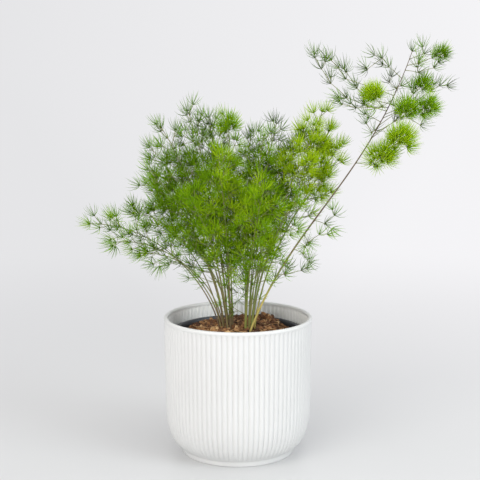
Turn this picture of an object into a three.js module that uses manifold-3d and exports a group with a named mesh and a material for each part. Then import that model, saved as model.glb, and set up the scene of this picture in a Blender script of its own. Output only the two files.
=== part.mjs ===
// Potted umbel asparagus: a bushy fern-like plant in a black nursery pot, standing in a ribbed white planter.
// Millimetres, +Z up, the front of the pot towards -Y. The origin is the centre of the planter's foot.
import * as THREE from 'three';
import { mergeVertices } from 'three/addons/utils/BufferGeometryUtils.js';
import Module from 'manifold-3d';

const wasm = await Module();
wasm.setup();

// Driving dimensions of the planter
const PLANTER_HEIGHT = 134.5;
const PLANTER_RIM_RADIUS = 72.5;
const PLANTER_FOOT_RADIUS = 55;
const PLANTER_FOOT_HEIGHT = 2.6;
const PLANTER_FLOOR = 5;
const PLANTER_FLOOR_RADIUS = 50;
const LIP_WIDTH = 4;
const LIP_DEPTH = 3;
const RIB_COUNT = 88;
const RIB_DEPTH = 1.1;

// Driving dimensions of the nursery pot
const NURSERY_RIM_TOP = 121;
const NURSERY_RIM_RADIUS = 63;
const NURSERY_RIM_DEPTH = 8;
const NURSERY_BASE_RADIUS = 45;
const NURSERY_WALL = 1.2;
const NURSERY_SHOULDER = 1.8;
const DRAIN_RADIUS = 4;
const DRAIN_CIRCLE = 30;
const DRAIN_COUNT = 4;

// Driving dimensions of the soil
const SOIL_TOP = 123.5;
const SOIL_EDGE_DROP = 13;
const SOIL_FLAT_RADIUS = 24;
const STEM_DEPTH = 16;
const HOLE_SIDES = 6;
const STEM_CLEARANCE = 0.25;

// Clearance between pieces that touch
const GAP = 0.3;

// Driving dimensions of the plant. Stems, twigs and needles are three-sided, and a radius is to a corner
const STEM_RADIUS = 0.9;
const LONG_STEM_RADIUS = 1.4;
const STEM_TIP_RADIUS = 0.55;
const TWIG_RADIUS = 0.5;
const NEEDLE_LENGTH = 14.5;
const NEEDLE_RADIUS = 0.5;
const TUFT_CORE_RADIUS = 0.95;
const TUFT_CORE_LENGTH = 2.4;

// Spacing of the stems at the soil, and how much nearer to its crown than its tip a stem starts
const BASE_SPACING = 3.1;
const BASE_SQUEEZE = 0.0725;

// Nodes of a stem, where side branches leave it, and the longest straight step between its rings
const NODE_SPACING = 7.5;
const NODE_HALF_HEIGHT = 0.65;
const LONGEST_STEP = 22;

// A cane gets one side branch for each such length of its reach. Tip room is kept free of them
const REACH_PER_TWIG = 4.8;
const TIP_ROOM = 9;

// Free room kept round a twig and round a tuft's core, as radii
const TWIG_ROOM = 0.7;
const TUFT_ROOM = 1.4;

// Least angle between a needle and a smaller twig that leaves the same tuft
const TWIG_ANGLE = 0.6;

// Round clumps: built stalks, and how far out of the clump's radius they reach
const CLUMP_STALKS = 3;
const CLUMP_REACH = 0.9;

// Needles of a clump: their size in the smallest one, and how it grows with the clump's radius
const CLUMP_NEEDLE_SIZE = 0.5;
const CLUMP_NEEDLE_GROWTH = 0.04;

const GOLDEN_ANGLE = 137.508 * Math.PI / 180;
const TIP_DRAW = 99999;

// Canes of the bush: crown, tip as x, y and height over the soil, reach of the side branches,
// share of the cane that is bare, and arch
const LEFT_CROWN = [-7, -7];
const RIGHT_CROWN = [8, -15];
const CANES = [
  { crown: LEFT_CROWN, tip: [-142, -4, 102], reach: 24, bare: 0.54, arch: 22 },
  { crown: LEFT_CROWN, tip: [-100, 8, 111], reach: 24, bare: 0.5, arch: 20 },
  { crown: LEFT_CROWN, tip: [-116, -16, 86], reach: 20, bare: 0.54, arch: 22 },
  { crown: LEFT_CROWN, tip: [-92, -22, 76], reach: 22, bare: 0.46, arch: 18 },
  { crown: LEFT_CROWN, tip: [-58, -36, 94], reach: 20, bare: 0.5, arch: 10 },
  { crown: LEFT_CROWN, tip: [-88, 6, 140], reach: 32, bare: 0.34, arch: 10 },
  { crown: LEFT_CROWN, tip: [-72, -10, 194], reach: 36, bare: 0.38, arch: 0 },
  { crown: LEFT_CROWN, tip: [-48, 10, 209], reach: 30, bare: 0.38, arch: 0 },
  { crown: LEFT_CROWN, tip: [-29, 34, 202], reach: 34, bare: 0.32, arch: 0 },
  { crown: LEFT_CROWN, tip: [-9, -6, 203], reach: 32, bare: 0.3, arch: 0 },
  { crown: LEFT_CROWN, tip: [-44, 64, 158], reach: 34, bare: 0.28, arch: 6 },
  { crown: LEFT_CROWN, tip: [-46, -52, 134], reach: 34, bare: 0.3, arch: 6 },
  { crown: LEFT_CROWN, tip: [-18, -50, 172], reach: 34, bare: 0.32, arch: 0 },
  { crown: LEFT_CROWN, tip: [-82, 44, 132], reach: 32, bare: 0.32, arch: 8 },
  { crown: LEFT_CROWN, tip: [-85, 16, 174], reach: 28, bare: 0.38, arch: 2 },
  { crown: LEFT_CROWN, tip: [-26, 56, 92], reach: 26, bare: 0.3, arch: 6 },
  { crown: LEFT_CROWN, tip: [-10, -30, 84], reach: 20, bare: 0.16, arch: 0 },
  { crown: LEFT_CROWN, tip: [-84, -24, 156], reach: 28, bare: 0.44, arch: 4 },
  { crown: RIGHT_CROWN, tip: [24, -26, 187], reach: 34, bare: 0.28, arch: 0 },
  { crown: RIGHT_CROWN, tip: [37, 12, 197], reach: 30, bare: 0.3, arch: 0 },
  { crown: RIGHT_CROWN, tip: [62, 38, 180], reach: 32, bare: 0.32, arch: 2 },
  { crown: RIGHT_CROWN, tip: [79, -12, 209], reach: 26, bare: 0.5, arch: -14 },
  { crown: RIGHT_CROWN, tip: [88, 6, 192], reach: 28, bare: 0.54, arch: -12 },
  { crown: RIGHT_CROWN, tip: [97, 4, 176], reach: 28, bare: 0.52, arch: -6 },
  { crown: RIGHT_CROWN, tip: [90, 24, 148], reach: 18, bare: 0.6, arch: 6 },
  { crown: RIGHT_CROWN, tip: [62, 10, 187], reach: 26, bare: 0.4, arch: 0 },
  { crown: RIGHT_CROWN, tip: [24, -64, 142], reach: 32, bare: 0.3, arch: 4 },
  { crown: RIGHT_CROWN, tip: [54, -50, 128], reach: 24, bare: 0.42, arch: 6 },
  { crown: RIGHT_CROWN, tip: [38, 66, 144], reach: 34, bare: 0.28, arch: 6 },
  { crown: RIGHT_CROWN, tip: [8, 70, 128], reach: 34, bare: 0.28, arch: 6 },
  { crown: RIGHT_CROWN, tip: [12, 26, 184], reach: 34, bare: 0.28, arch: 0 },
  { crown: RIGHT_CROWN, tip: [30, -52, 88], reach: 18, bare: 0.4, arch: 6 },
  { crown: RIGHT_CROWN, tip: [16, 4, 90], reach: 20, bare: 0.12, arch: 0 },
];

// The long cane that leans far out to the right, as a curve over the soil
const LONG_CANE = [[11, -27, 0], [50, -28, 107], [119, -20, 141], [161, -20, 265]];

// Sprays of the long cane: place along it as a share of its length, tufts outward along the twig,
// and round clumps past the last tuft as centre, radius and count
const SPRAYS = [
  { along: 0.176, tufts: [[34, -20, 48], [44, -16, 56]], clumps: [] },
  { along: 0.205, tufts: [[44, -24, 56], [60, -24, 60]], clumps: [] },
  { along: 0.298, tufts: [[62, -8, 74], [69, 0, 64]], clumps: [] },
  { along: 0.353, tufts: [[66, -30, 88], [76, -34, 96]], clumps: [] },
  { along: 0.407, tufts: [[81, -31, 106], [90, -34, 114]], clumps: [] },
  { along: 0.624, tufts: [[126, -32, 160]], clumps: [[133, -36, 168, 11, 21], [148, -42, 184, 11, 22]] },
  { along: 0.712, tufts: [[148, -4, 200], [160, 2, 204], [174, 4, 196]], clumps: [] },
  { along: 0.727, tufts: [[150, -32, 204]], clumps: [[156, -34, 211, 7, 12], [174, -30, 213, 8, 13]] },
  { along: 0.742, tufts: [[126, -14, 190], [121, -10, 198]], clumps: [] },
  { along: 0.756, tufts: [[146, -26, 208], [158, -20, 216]], clumps: [] },
  { along: 0.769, tufts: [[120, -10, 207]], clumps: [] },
  { along: 0.782, tufts: [[158, -10, 212], [165, -6, 226]], clumps: [[174, 0, 233, 7, 12]] },
  { along: 0.794, tufts: [[168, 2, 218], [184, 10, 228], [193, 12, 233]], clumps: [] },
  {
    along: 0.806,
    tufts: [[117, -28, 216], [100, -34, 223], [85, -36, 236], [76, -40, 249], [70, -42, 259]],
    clumps: [],
  },
  { along: 0.818, tufts: [[108, -40, 214], [95, -44, 217]], clumps: [] },
  { along: 0.83, tufts: [[126, -12, 220], [112, -8, 231], [100, -2, 249]], clumps: [] },
  { along: 0.843, tufts: [[133, -34, 215]], clumps: [[124, -38, 225, 7, 17]] },
  { along: 0.858, tufts: [[100, -24, 240], [86, -26, 257]], clumps: [] },
  { along: 0.879, tufts: [[139, -30, 237]], clumps: [] },
  { along: 0.893, tufts: [[149, -8, 231]], clumps: [] },
  { along: 0.914, tufts: [[141, -12, 251], [135, -8, 259], [122, -4, 249]], clumps: [] },
  { along: 0.94, tufts: [[168, -12, 246], [183, -10, 250]], clumps: [] },
  { along: 0.955, tufts: [[166, -24, 254], [178, -28, 259]], clumps: [[186, -30, 262, 5, 7]] },
  { along: 0.975, tufts: [[174, -8, 263]], clumps: [] },
];

const UP = new THREE.Vector3(0, 0, 1);
const vec = (p) => new THREE.Vector3(p[0], p[1], p[2]);

// A repeatable draw between 0 and 1 for three whole numbers
function chance(a, b, c) {
  const s = Math.sin(a * 127.1 + b * 311.7 + c * 74.7) * 43758.5453;
  return s - Math.floor(s);
}

// Solids: a closed geometry becomes a solid, and a solid a geometry
function toSolid(geometry) {
  const bare = geometry.clone();
  bare.deleteAttribute('normal');
  bare.deleteAttribute('uv');
  const merged = mergeVertices(bare, 1e-4);
  const vertProperties = Float32Array.from(merged.attributes.position.array);
  const corners = merged.index.array;
  const kept = [];
  for (let i = 0; i < corners.length; i += 3) {
    const [a, b, c] = [corners[i], corners[i + 1], corners[i + 2]];
    if (a !== b && b !== c && c !== a) kept.push(a, b, c);
  }
  const triVerts = Uint32Array.from(kept);
  return new wasm.Manifold(new wasm.Mesh({ numProp: 3, vertProperties, triVerts }));
}

function toGeometry(solid) {
  const mesh = solid.getMesh();
  const geometry = new THREE.BufferGeometry();
  geometry.setAttribute('position', new THREE.BufferAttribute(mesh.vertProperties, 3));
  geometry.setIndex(new THREE.BufferAttribute(mesh.triVerts, 1));
  geometry.computeVertexNormals();
  return geometry;
}

// A turned body from its outline as [radius, height] points, with its axis along Z
function turned(outline, sides) {
  const points = outline.map(([r, z]) => new THREE.Vector2(r, z));
  const geometry = new THREE.LatheGeometry(points, sides);
  geometry.rotateX(Math.PI / 2);
  return geometry;
}

// Moves every vertex of a geometry by a function
function reshape(geometry, move) {
  const place = geometry.attributes.position;
  const p = new THREE.Vector3();
  for (let i = 0; i < place.count; i++) {
    p.fromBufferAttribute(place, i);
    move(p);
    place.setXYZ(i, p.x, p.y, p.z);
  }
  return geometry;
}

// The planter: its outline, with ribs raised on both faces of the wall between foot and lip
const WALL = 2.4;
const RIB_LOW = PLANTER_FOOT_HEIGHT + 1;
const RIB_HIGH = PLANTER_HEIGHT - LIP_DEPTH - 1;
const LIP_INNER_RADIUS = PLANTER_RIM_RADIUS - LIP_WIDTH;
const BELLY_RADIUS = PLANTER_RIM_RADIUS - 0.6;
const BELLY_LOW = 34;

function planterOutline() {
  return [
    [0, 0],
    [PLANTER_FOOT_RADIUS, 0],
    [PLANTER_FOOT_RADIUS, PLANTER_FOOT_HEIGHT],
    [61, 7.5],
    [66.8, 18.5],
    [BELLY_RADIUS - 1.4, BELLY_LOW],
    [BELLY_RADIUS, RIB_HIGH],
    [PLANTER_RIM_RADIUS, PLANTER_HEIGHT - LIP_DEPTH],
    [PLANTER_RIM_RADIUS - 0.6, PLANTER_HEIGHT],
    [LIP_INNER_RADIUS + 0.6, PLANTER_HEIGHT],
    [LIP_INNER_RADIUS, PLANTER_HEIGHT - LIP_DEPTH],
    [BELLY_RADIUS - WALL, RIB_HIGH],
    [BELLY_RADIUS - 1.4 - WALL, BELLY_LOW],
    [PLANTER_FLOOR_RADIUS, PLANTER_FLOOR],
    [0, PLANTER_FLOOR],
  ];
}

function planterGeometry() {
  const geometry = turned(planterOutline(), 2 * RIB_COUNT);
  return reshape(geometry, (p) => {
    const radius = Math.hypot(p.x, p.y);
    const ribbed = p.z > RIB_LOW && p.z < RIB_HIGH + 0.01 && radius > PLANTER_FLOOR_RADIUS + 1;
    const turn = Math.atan2(p.y, p.x) + Math.PI / 2;
    const step = Math.round(turn / Math.PI * RIB_COUNT);
    if (ribbed && step % 2 === 0) {
      const scale = (radius - RIB_DEPTH) / radius;
      p.x *= scale;
      p.y *= scale;
    }
  });
}

// The nursery pot: a tapered plastic cup with a wide rim and drain holes in its base
const NURSERY_FLOOR = PLANTER_FLOOR + GAP;
const NURSERY_TOP_RADIUS = NURSERY_RIM_RADIUS - NURSERY_SHOULDER;

// Inner radius of the nursery pot's wall at a height
function nurseryInside(z) {
  const share = (z - NURSERY_FLOOR) / (NURSERY_RIM_TOP - NURSERY_FLOOR);
  return NURSERY_BASE_RADIUS + (NURSERY_TOP_RADIUS - NURSERY_BASE_RADIUS) * share - NURSERY_WALL;
}

function nurserySolid() {
  const rimBottom = NURSERY_RIM_TOP - NURSERY_RIM_DEPTH;
  const floorTop = NURSERY_FLOOR + NURSERY_WALL;
  const outline = [
    [0, NURSERY_FLOOR],
    [NURSERY_BASE_RADIUS, NURSERY_FLOOR],
    [nurseryInside(rimBottom) + NURSERY_WALL, rimBottom],
    [NURSERY_RIM_RADIUS, rimBottom],
    [NURSERY_RIM_RADIUS, NURSERY_RIM_TOP],
    [nurseryInside(NURSERY_RIM_TOP), NURSERY_RIM_TOP],
    [nurseryInside(floorTop), floorTop],
    [0, floorTop],
  ];
  let solid = toSolid(turned(outline, 32));
  for (let i = 0; i < DRAIN_COUNT; i++) {
    const angle = i / DRAIN_COUNT * 2 * Math.PI;
    const hole = new THREE.CylinderGeometry(DRAIN_RADIUS, DRAIN_RADIUS, 4 * NURSERY_WALL, 8);
    hole.rotateX(Math.PI / 2);
    hole.translate(DRAIN_CIRCLE * Math.cos(angle), DRAIN_CIRCLE * Math.sin(angle), NURSERY_FLOOR);
    solid = solid.subtract(toSolid(hole));
  }
  return solid;
}

// Height of the soil's surface: a low mound, higher behind the stems on the right, with clods
function soilHeight(x, y) {
  const mound = (cx, cy, width, height) => {
    return height * Math.exp(-((x - cx) ** 2 + (y - cy) ** 2) / width ** 2);
  };
  const radius = Math.hypot(x, y);
  const slope = (radius - SOIL_FLAT_RADIUS) / (NURSERY_TOP_RADIUS - SOIL_FLAT_RADIUS);
  const edge = Math.min(1, Math.max(0, slope));
  const clods = Math.sin(x * 0.31 + 1) * Math.cos(y * 0.27 - 2) + 0.6 * Math.sin(x * 0.57 - y * 0.49);
  return SOIL_TOP - SOIL_EDGE_DROP * edge ** 1.4 + mound(29, 28, 13, 9) + mound(-34, 20, 14, 2.5)
    + mound(4, 32, 12, 2) + 0.9 * clods;
}

function soilSolid(holes) {
  const bottom = NURSERY_FLOOR + NURSERY_WALL + GAP;
  const edgeHeight = SOIL_TOP - SOIL_EDGE_DROP;
  const outline = [[0, bottom], [nurseryInside(bottom) - GAP, bottom]];
  const edgeRadius = nurseryInside(edgeHeight) - GAP;
  for (const share of [1, 0.88, 0.7, 0.5, 0.28, 0]) {
    outline.push([edgeRadius * share, edgeHeight]);
  }
  const geometry = reshape(turned(outline, 24), (p) => {
    if (p.z < edgeHeight - 1) return;
    const radius = Math.hypot(p.x, p.y);
    p.z = radius > edgeRadius - 0.1 ? edgeHeight : soilHeight(p.x, p.y);
  });
  let solid = toSolid(geometry);
  for (const { x, y, radius } of holes) {
    const hole = new THREE.CylinderGeometry(radius, radius, 2 * STEM_DEPTH, HOLE_SIDES);
    hole.rotateX(Math.PI / 2);
    hole.translate(x, y, SOIL_TOP);
    solid = solid.subtract(toSolid(hole));
  }
  return solid;
}

// Where the canes leave the soil: near their crown, in the order of their tips, kept apart
function spreadBases() {
  const bases = CANES.map(({ crown, tip }) => new THREE.Vector2(
    crown[0] + (tip[0] - crown[0]) * BASE_SQUEEZE,
    crown[1] + (tip[1] - crown[1]) * BASE_SQUEEZE,
  ));
  bases.push(new THREE.Vector2(LONG_CANE[0][0], LONG_CANE[0][1]));
  const between = new THREE.Vector2();
  for (let pass = 0; pass < 200; pass++) {
    for (let i = 0; i < bases.length; i++) {
      for (let j = 0; j < i; j++) {
        between.subVectors(bases[i], bases[j]);
        const distance = between.length();
        if (distance < BASE_SPACING) {
          between.multiplyScalar((BASE_SPACING - distance) / distance / 2);
          bases[i].add(between);
          bases[j].sub(between);
        }
      }
    }
  }
  return bases;
}

// A cane's curve from the soil to its tip
function caneCurve({ tip, arch }, base) {
  const start = new THREE.Vector3(base.x, base.y, 0);
  const end = vec(tip);
  const out = new THREE.Vector3(end.x - start.x, end.y - start.y, 0);
  const rise = Math.max(end.z * 0.4, 43);
  const low = start.clone().addScaledVector(out, 0.07).addScaledVector(UP, rise);
  const high = start.clone().addScaledVector(out, 0.6 - 0.006 * arch).addScaledVector(UP, end.z * 0.8 + arch);
  return new THREE.CubicBezierCurve3(start, low, high, end);
}

// Two directions square to a direction
function sideAxes(direction) {
  const first = new THREE.Vector3().crossVectors(direction, new THREE.Vector3(0, 1, 0)).normalize();
  return [first, new THREE.Vector3().crossVectors(direction, first)];
}

// A side branch of a cane: its node as a share of the length, its end and the way it points there
function sideTwig(curve, cane, index, node, count) {
  const u = (node + 0.5) / count;
  const along = cane.bare + (1 - cane.bare) * u;
  const forward = curve.getTangentAt(along);
  const [first, second] = sideAxes(forward);
  const turn = node * GOLDEN_ANGLE + 0.7 * chance(index, node, 1);
  const side = first.multiplyScalar(Math.cos(turn)).addScaledVector(second, Math.sin(turn));
  const lean = (66 - 24 * u) * Math.PI / 180;
  const leave = forward.clone().multiplyScalar(Math.cos(lean)).addScaledVector(side, Math.sin(lean));
  const bulge = 0.5 + 0.5 * Math.sin(Math.PI * Math.min(1, u * 1.15));
  const length = cane.reach * bulge * (1 - 0.36 * u) * (0.7 + 0.6 * chance(index, node, 2));
  const wander = vec([3, 4, 5].map((k) => 0.3 * (chance(index, node, k) - 0.5)));
  const direction = leave.clone().addScaledVector(UP, 0.4).add(wander).normalize();
  const end = curve.getPointAt(along);
  end.addScaledVector(leave, length / 2).addScaledVector(direction, length / 2);
  return { along, end, direction, draw: node, twigs: [] };
}

// A ring of points round a centre, counterclockwise seen against its direction
function ring(centre, direction, radius, turn) {
  const [first, second] = sideAxes(direction);
  return [0, 1, 2].map((k) => {
    const angle = turn + k * 2 * Math.PI / 3;
    const point = centre.clone().addScaledVector(first, radius * Math.cos(angle));
    return point.addScaledVector(second, radius * Math.sin(angle));
  });
}

// The faces of the wall between two rings
function wall(low, high) {
  return low.flatMap((corner, k) => {
    const next = (k + 1) % low.length;
    return [[corner, low[next], high[next]], [corner, high[next], high[k]]];
  });
}

function middleOf(face) {
  return face[0].clone().add(face[1]).add(face[2]).divideScalar(3);
}

function normalOf(face) {
  return face[1].clone().sub(face[0]).cross(face[2].clone().sub(face[0])).normalize();
}

// Takes the face that looks most towards a point out of a list
function takeFace(faces, point) {
  const look = (face) => normalOf(face).dot(point.clone().sub(middleOf(face)).normalize());
  const best = faces.reduce((a, b) => (look(b) > look(a) ? b : a));
  faces.splice(faces.indexOf(best), 1);
  return best;
}

// Room taken by stems, twigs and needles, as thick line pieces, so that nothing grows into anything else
const taken = [];

function segmentDistance(a, b, c, d) {
  const u = b.clone().sub(a);
  const v = d.clone().sub(c);
  const w = a.clone().sub(c);
  const uu = u.dot(u);
  const uv = u.dot(v);
  const vv = v.dot(v);
  const uw = u.dot(w);
  const vw = v.dot(w);
  const det = uu * vv - uv * uv;
  let s = det > 1e-9 ? THREE.MathUtils.clamp((uv * vw - vv * uw) / det, 0, 1) : 0;
  const t = THREE.MathUtils.clamp((uv * s + vw) / vv, 0, 1);
  s = THREE.MathUtils.clamp((uv * t - uw) / uu, 0, 1);
  return w.addScaledVector(u, s).addScaledVector(v, -t).length();
}

function isFree(a, b, radius, skip) {
  return taken.every((other) => skip(other)
    || segmentDistance(a, b, other.a, other.b) > radius + other.radius + GAP);
}

function take(a, b, radius, cane, twig) {
  taken.push({ a: a.clone(), b: b.clone(), radius, cane, twig });
}

// The core of a twig's tuft, from the twig's end onward
function coreEnd({ end, direction }) {
  return end.clone().addScaledVector(direction, TUFT_CORE_LENGTH);
}

// Keeps the twigs that have room to grow from a point, and claims that room
function claimTwigs(twigs, start, cane) {
  return twigs.filter((twig) => {
    const outer = start.clone().lerp(twig.end, 0.35);
    const near = start.clone().lerp(twig.end, 0.15);
    const core = coreEnd(twig);
    const others = (other) => other.cane === cane;
    const stem = (other) => other.cane === cane && other.twig === null;
    const free = isFree(start, twig.end, TWIG_ROOM, others) && isFree(outer, twig.end, TWIG_ROOM, stem)
      && isFree(twig.end, core, TUFT_CORE_RADIUS, stem) && isFree(twig.end, core, TUFT_ROOM, others);
    if (!free) return false;
    take(near, twig.end, TWIG_ROOM, cane, twig.draw);
    take(twig.end, core, TUFT_ROOM, cane, twig.draw);
    twig.twigs = claimTwigs(twig.twigs, core, cane);
    return true;
  });
}

// The point of a needle raised on a face of a tuft's core, or null where something is in its way
function needlePoint(face, twig, cane, count) {
  const middle = middleOf(face);
  const fromEnd = middle.clone().sub(twig.end);
  const height = fromEnd.dot(twig.direction) / TUFT_CORE_LENGTH;
  const side = fromEnd.addScaledVector(twig.direction, -height * TUFT_CORE_LENGTH).normalize();
  const outward = normalOf(face).addScaledVector(side, 0.5).addScaledVector(twig.direction, height);
  outward.addScaledVector(UP, 0.15).normalize();
  const length = NEEDLE_LENGTH * (twig.size ?? 1) * (0.85 + 0.25 * chance(cane, twig.draw, 40 + count));
  const point = middle.clone().addScaledVector(outward, length);
  const root = middle.clone().addScaledVector(outward, 1.5);
  const half = middle.clone().lerp(point, 0.5);
  const own = (other) => other.cane === cane && other.twig === twig.draw;
  const besideTwig = twig.twigs.some((child) => outward.angleTo(child.end.clone().sub(middle)) < TWIG_ANGLE);
  if (besideTwig || !isFree(root, half, TWIG_ROOM, own)) return null;
  if (!isFree(half, point, NEEDLE_RADIUS, own)) return null;
  take(root, point, NEEDLE_RADIUS, cane, twig.draw);
  return point;
}

// Draws a face out into a twig that ends in a slim core, with smaller twigs and needles raised on the core
function growTwig(base, twig, cane) {
  const [first, second] = sideAxes(twig.direction);
  const corner = base[0].clone().sub(middleOf(base));
  const turn = Math.atan2(corner.dot(second), corner.dot(first));
  const tip = coreEnd(twig);
  const neck = ring(twig.end, twig.direction, TWIG_RADIUS, turn);
  const crown = ring(tip, twig.direction, TUFT_CORE_RADIUS, turn);
  tip.addScaledVector(twig.direction, TUFT_CORE_RADIUS / 3);
  const buds = [...wall(neck, crown), ...crown.map((point, k) => [tip, point, crown[(k + 1) % 3]])];
  const faces = wall(base, neck);
  for (const child of twig.twigs) faces.push(...growTwig(takeFace(buds, child.end), child, cane));
  buds.forEach((bud, count) => {
    const point = needlePoint(bud, twig, cane, count);
    const sides = bud.map((corner, k) => [corner, bud[(k + 1) % 3], point]);
    faces.push(...(point ? sides : [bud]));
  });
  return faces;
}

// A cane as one closed body: a stem with two close rings at each node, and twigs drawn out between them
function growCane({ index, curve, radius, twigs }) {
  const length = curve.getLength();
  const turn = 6.28 * chance(index, 0, 9);
  const places = [0];
  const nodes = twigs.map(({ along }) => along * length);
  const marks = nodes.flatMap((node) => [node - NODE_HALF_HEIGHT, node + NODE_HALF_HEIGHT]);
  for (const place of [...marks, length - NODE_HALF_HEIGHT]) {
    const last = places.at(-1);
    const steps = Math.ceil((place - last) / LONGEST_STEP);
    for (let k = 1; k <= steps; k++) places.push(last + (place - last) * k / steps);
  }
  const rings = places.map((place) => {
    const share = place / length;
    const size = radius + (STEM_TIP_RADIUS - radius) * share;
    return ring(curve.getPointAt(share), place === 0 ? UP : curve.getTangentAt(share), size, turn);
  });
  const foot = rings[0].map((point) => point.clone().addScaledVector(UP, GAP - STEM_DEPTH));
  const faces = [[foot[0], foot[2], foot[1]], ...wall(foot, rings[0])];
  for (let k = 1; k < rings.length; k++) {
    const band = wall(rings[k - 1], rings[k]);
    const here = nodes.findIndex((node) => node > places[k - 1] && node < places[k]);
    if (here >= 0) faces.push(...growTwig(takeFace(band, twigs[here].end), twigs[here], index));
    faces.push(...band);
  }
  const direction = curve.getTangentAt(1);
  const end = curve.getPointAt(1);
  faces.push(...growTwig(rings.at(-1), { end, direction, draw: TIP_DRAW, twigs: [] }, index));
  return toGeometry(toSolid(new THREE.BufferGeometry().setFromPoints(faces.flat())));
}

// The side branches of one bush cane that are built
function caneTwigs(curve, cane, index) {
  const length = curve.getLength();
  const count = Math.max(3, Math.round(length * (1 - cane.bare) / NODE_SPACING));
  const kept = Math.round(cane.reach / REACH_PER_TWIG) / count;
  const twigs = [];
  for (let node = 0; node < count; node++) {
    if (Math.floor(node * kept) === Math.floor((node + 1) * kept)) continue;
    const twig = sideTwig(curve, cane, index, node, count);
    if (twig.along * length < length - TIP_ROOM) twigs.push(twig);
  }
  return twigs;
}

// The sprays of the long cane: from tuft to tuft, then from clump to clump, with stalks on all sides of each
function longTwigs(curve) {
  return SPRAYS.map(({ along, tufts, clumps }, spray) => {
    const root = { along, end: curve.getPointAt(along), twigs: [] };
    const last = tufts.reduce((parent, place, k) => {
      const end = vec(place);
      const direction = end.clone().sub(parent.end).normalize().addScaledVector(UP, 0.35).normalize();
      const twig = { along, end, direction, draw: 100 * spray + k, twigs: [] };
      parent.twigs.push(twig);
      return twig;
    }, root);
    clumps.reduce((parent, [x, y, z, radius, count], clump) => {
      const end = vec([x, y, z]);
      const draw = 100 * spray + 20 * (clump + 1);
      const direction = end.clone().sub(parent.end).normalize();
      const size = CLUMP_NEEDLE_SIZE + CLUMP_NEEDLE_GROWTH * radius;
      const twigs = [];
      for (let k = 0; k < CLUMP_STALKS; k++) {
        const place = Math.floor((k + 0.5) * count / CLUMP_STALKS);
        const height = 1 - (place + 0.5) / count * 1.6;
        const wide = Math.sqrt(1 - height * height);
        const turn = place * GOLDEN_ANGLE;
        const outward = new THREE.Vector3(wide * Math.cos(turn), wide * Math.sin(turn), height);
        const stalk = end.clone().addScaledVector(outward, radius * CLUMP_REACH);
        twigs.push({ end: stalk, direction: outward, draw: draw + 1 + k, size, twigs: [] });
      }
      const hub = { end, direction, draw, size, twigs };
      parent.twigs.push(hub);
      return hub;
    }, last);
    return root.twigs[0];
  });
}

// The plant: room for every stem first, then for the twigs, then each cane with its needles
function growPlant() {
  const plants = spreadBases().map((base, index) => {
    if (index < CANES.length) {
      const curve = caneCurve(CANES[index], base);
      return { index, base, curve, radius: STEM_RADIUS, twigs: caneTwigs(curve, CANES[index], index) };
    }
    const curve = new THREE.CubicBezierCurve3(...LONG_CANE.map(vec));
    curve.v0.set(base.x, base.y, 0);
    return { index, base, curve, radius: LONG_STEM_RADIUS, twigs: longTwigs(curve) };
  });
  for (const { index, curve, radius } of plants) {
    const points = curve.getSpacedPoints(24);
    for (let k = 1; k < points.length; k++) take(points[k - 1], points[k], radius, index, null);
    const tip = { end: points.at(-1), direction: curve.getTangentAt(1) };
    take(tip.end, coreEnd(tip), TUFT_ROOM, index, TIP_DRAW);
  }
  for (const plant of plants) {
    plant.twigs = plant.twigs.filter((twig) => {
      return claimTwigs([twig], plant.curve.getPointAt(twig.along), plant.index).length > 0;
    });
  }
  return plants.map((plant) => {
    const geometry = growCane(plant);
    geometry.translate(0, 0, SOIL_TOP);
    const { base, radius } = plant;
    const holeRadius = (radius + STEM_CLEARANCE) / Math.cos(Math.PI / HOLE_SIDES);
    return { geometry, hole: { x: base.x, y: base.y, radius: holeRadius } };
  });
}

function named(name, geometry, colour, roughness) {
  const material = new THREE.MeshStandardMaterial({ color: colour, roughness, metalness: 0 });
  const mesh = new THREE.Mesh(geometry, material);
  mesh.name = name;
  return mesh;
}

const canes = growPlant();
const plant = new THREE.Group();
plant.add(named('planter', planterGeometry(), 0xeef0ee, 0.35));
plant.add(named('nursery_pot', toGeometry(nurserySolid()), 0x23262b, 0.5));
plant.add(named('soil', toGeometry(soilSolid(canes.map(({ hole }) => hole))), 0x5a3a26, 0.95));
canes.forEach(({ geometry }, index) => {
  const name = index === CANES.length ? 'cane_long' : `cane_${String(index + 1).padStart(2, '0')}`;
  plant.add(named(name, geometry, 0x5f9a2c, 0.6));
});

export default plant;
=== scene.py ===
"""The looks of a potted umbel asparagus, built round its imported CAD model.

Shapes are worked out in millimetres and turned into metres when their mesh is made.
The plant grows by the same rules as the CAD canes, but with every side branch, tuft and needle.
"""
import math
from collections import namedtuple

import bpy
import numpy as np
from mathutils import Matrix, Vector, noise


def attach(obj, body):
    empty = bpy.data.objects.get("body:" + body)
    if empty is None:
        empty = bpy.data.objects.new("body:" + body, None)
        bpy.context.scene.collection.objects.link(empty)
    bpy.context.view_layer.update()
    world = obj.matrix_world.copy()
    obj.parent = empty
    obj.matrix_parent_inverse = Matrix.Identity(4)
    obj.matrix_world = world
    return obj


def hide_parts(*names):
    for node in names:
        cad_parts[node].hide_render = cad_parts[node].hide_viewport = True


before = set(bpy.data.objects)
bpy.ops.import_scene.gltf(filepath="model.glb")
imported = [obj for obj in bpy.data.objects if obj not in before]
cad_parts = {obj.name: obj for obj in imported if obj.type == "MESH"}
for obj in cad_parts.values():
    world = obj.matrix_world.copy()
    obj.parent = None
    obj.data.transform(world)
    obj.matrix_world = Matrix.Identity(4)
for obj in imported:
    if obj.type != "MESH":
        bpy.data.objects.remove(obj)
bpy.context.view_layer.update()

MM = 0.001
TAU = 2 * math.pi
GOLDEN_ANGLE = math.radians(137.508)
UP = np.array([0.0, 0.0, 1.0])

# Radius of the ring that closes a turned surface at its middle, in millimetres
CLOSING_RADIUS = 0.01

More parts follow.
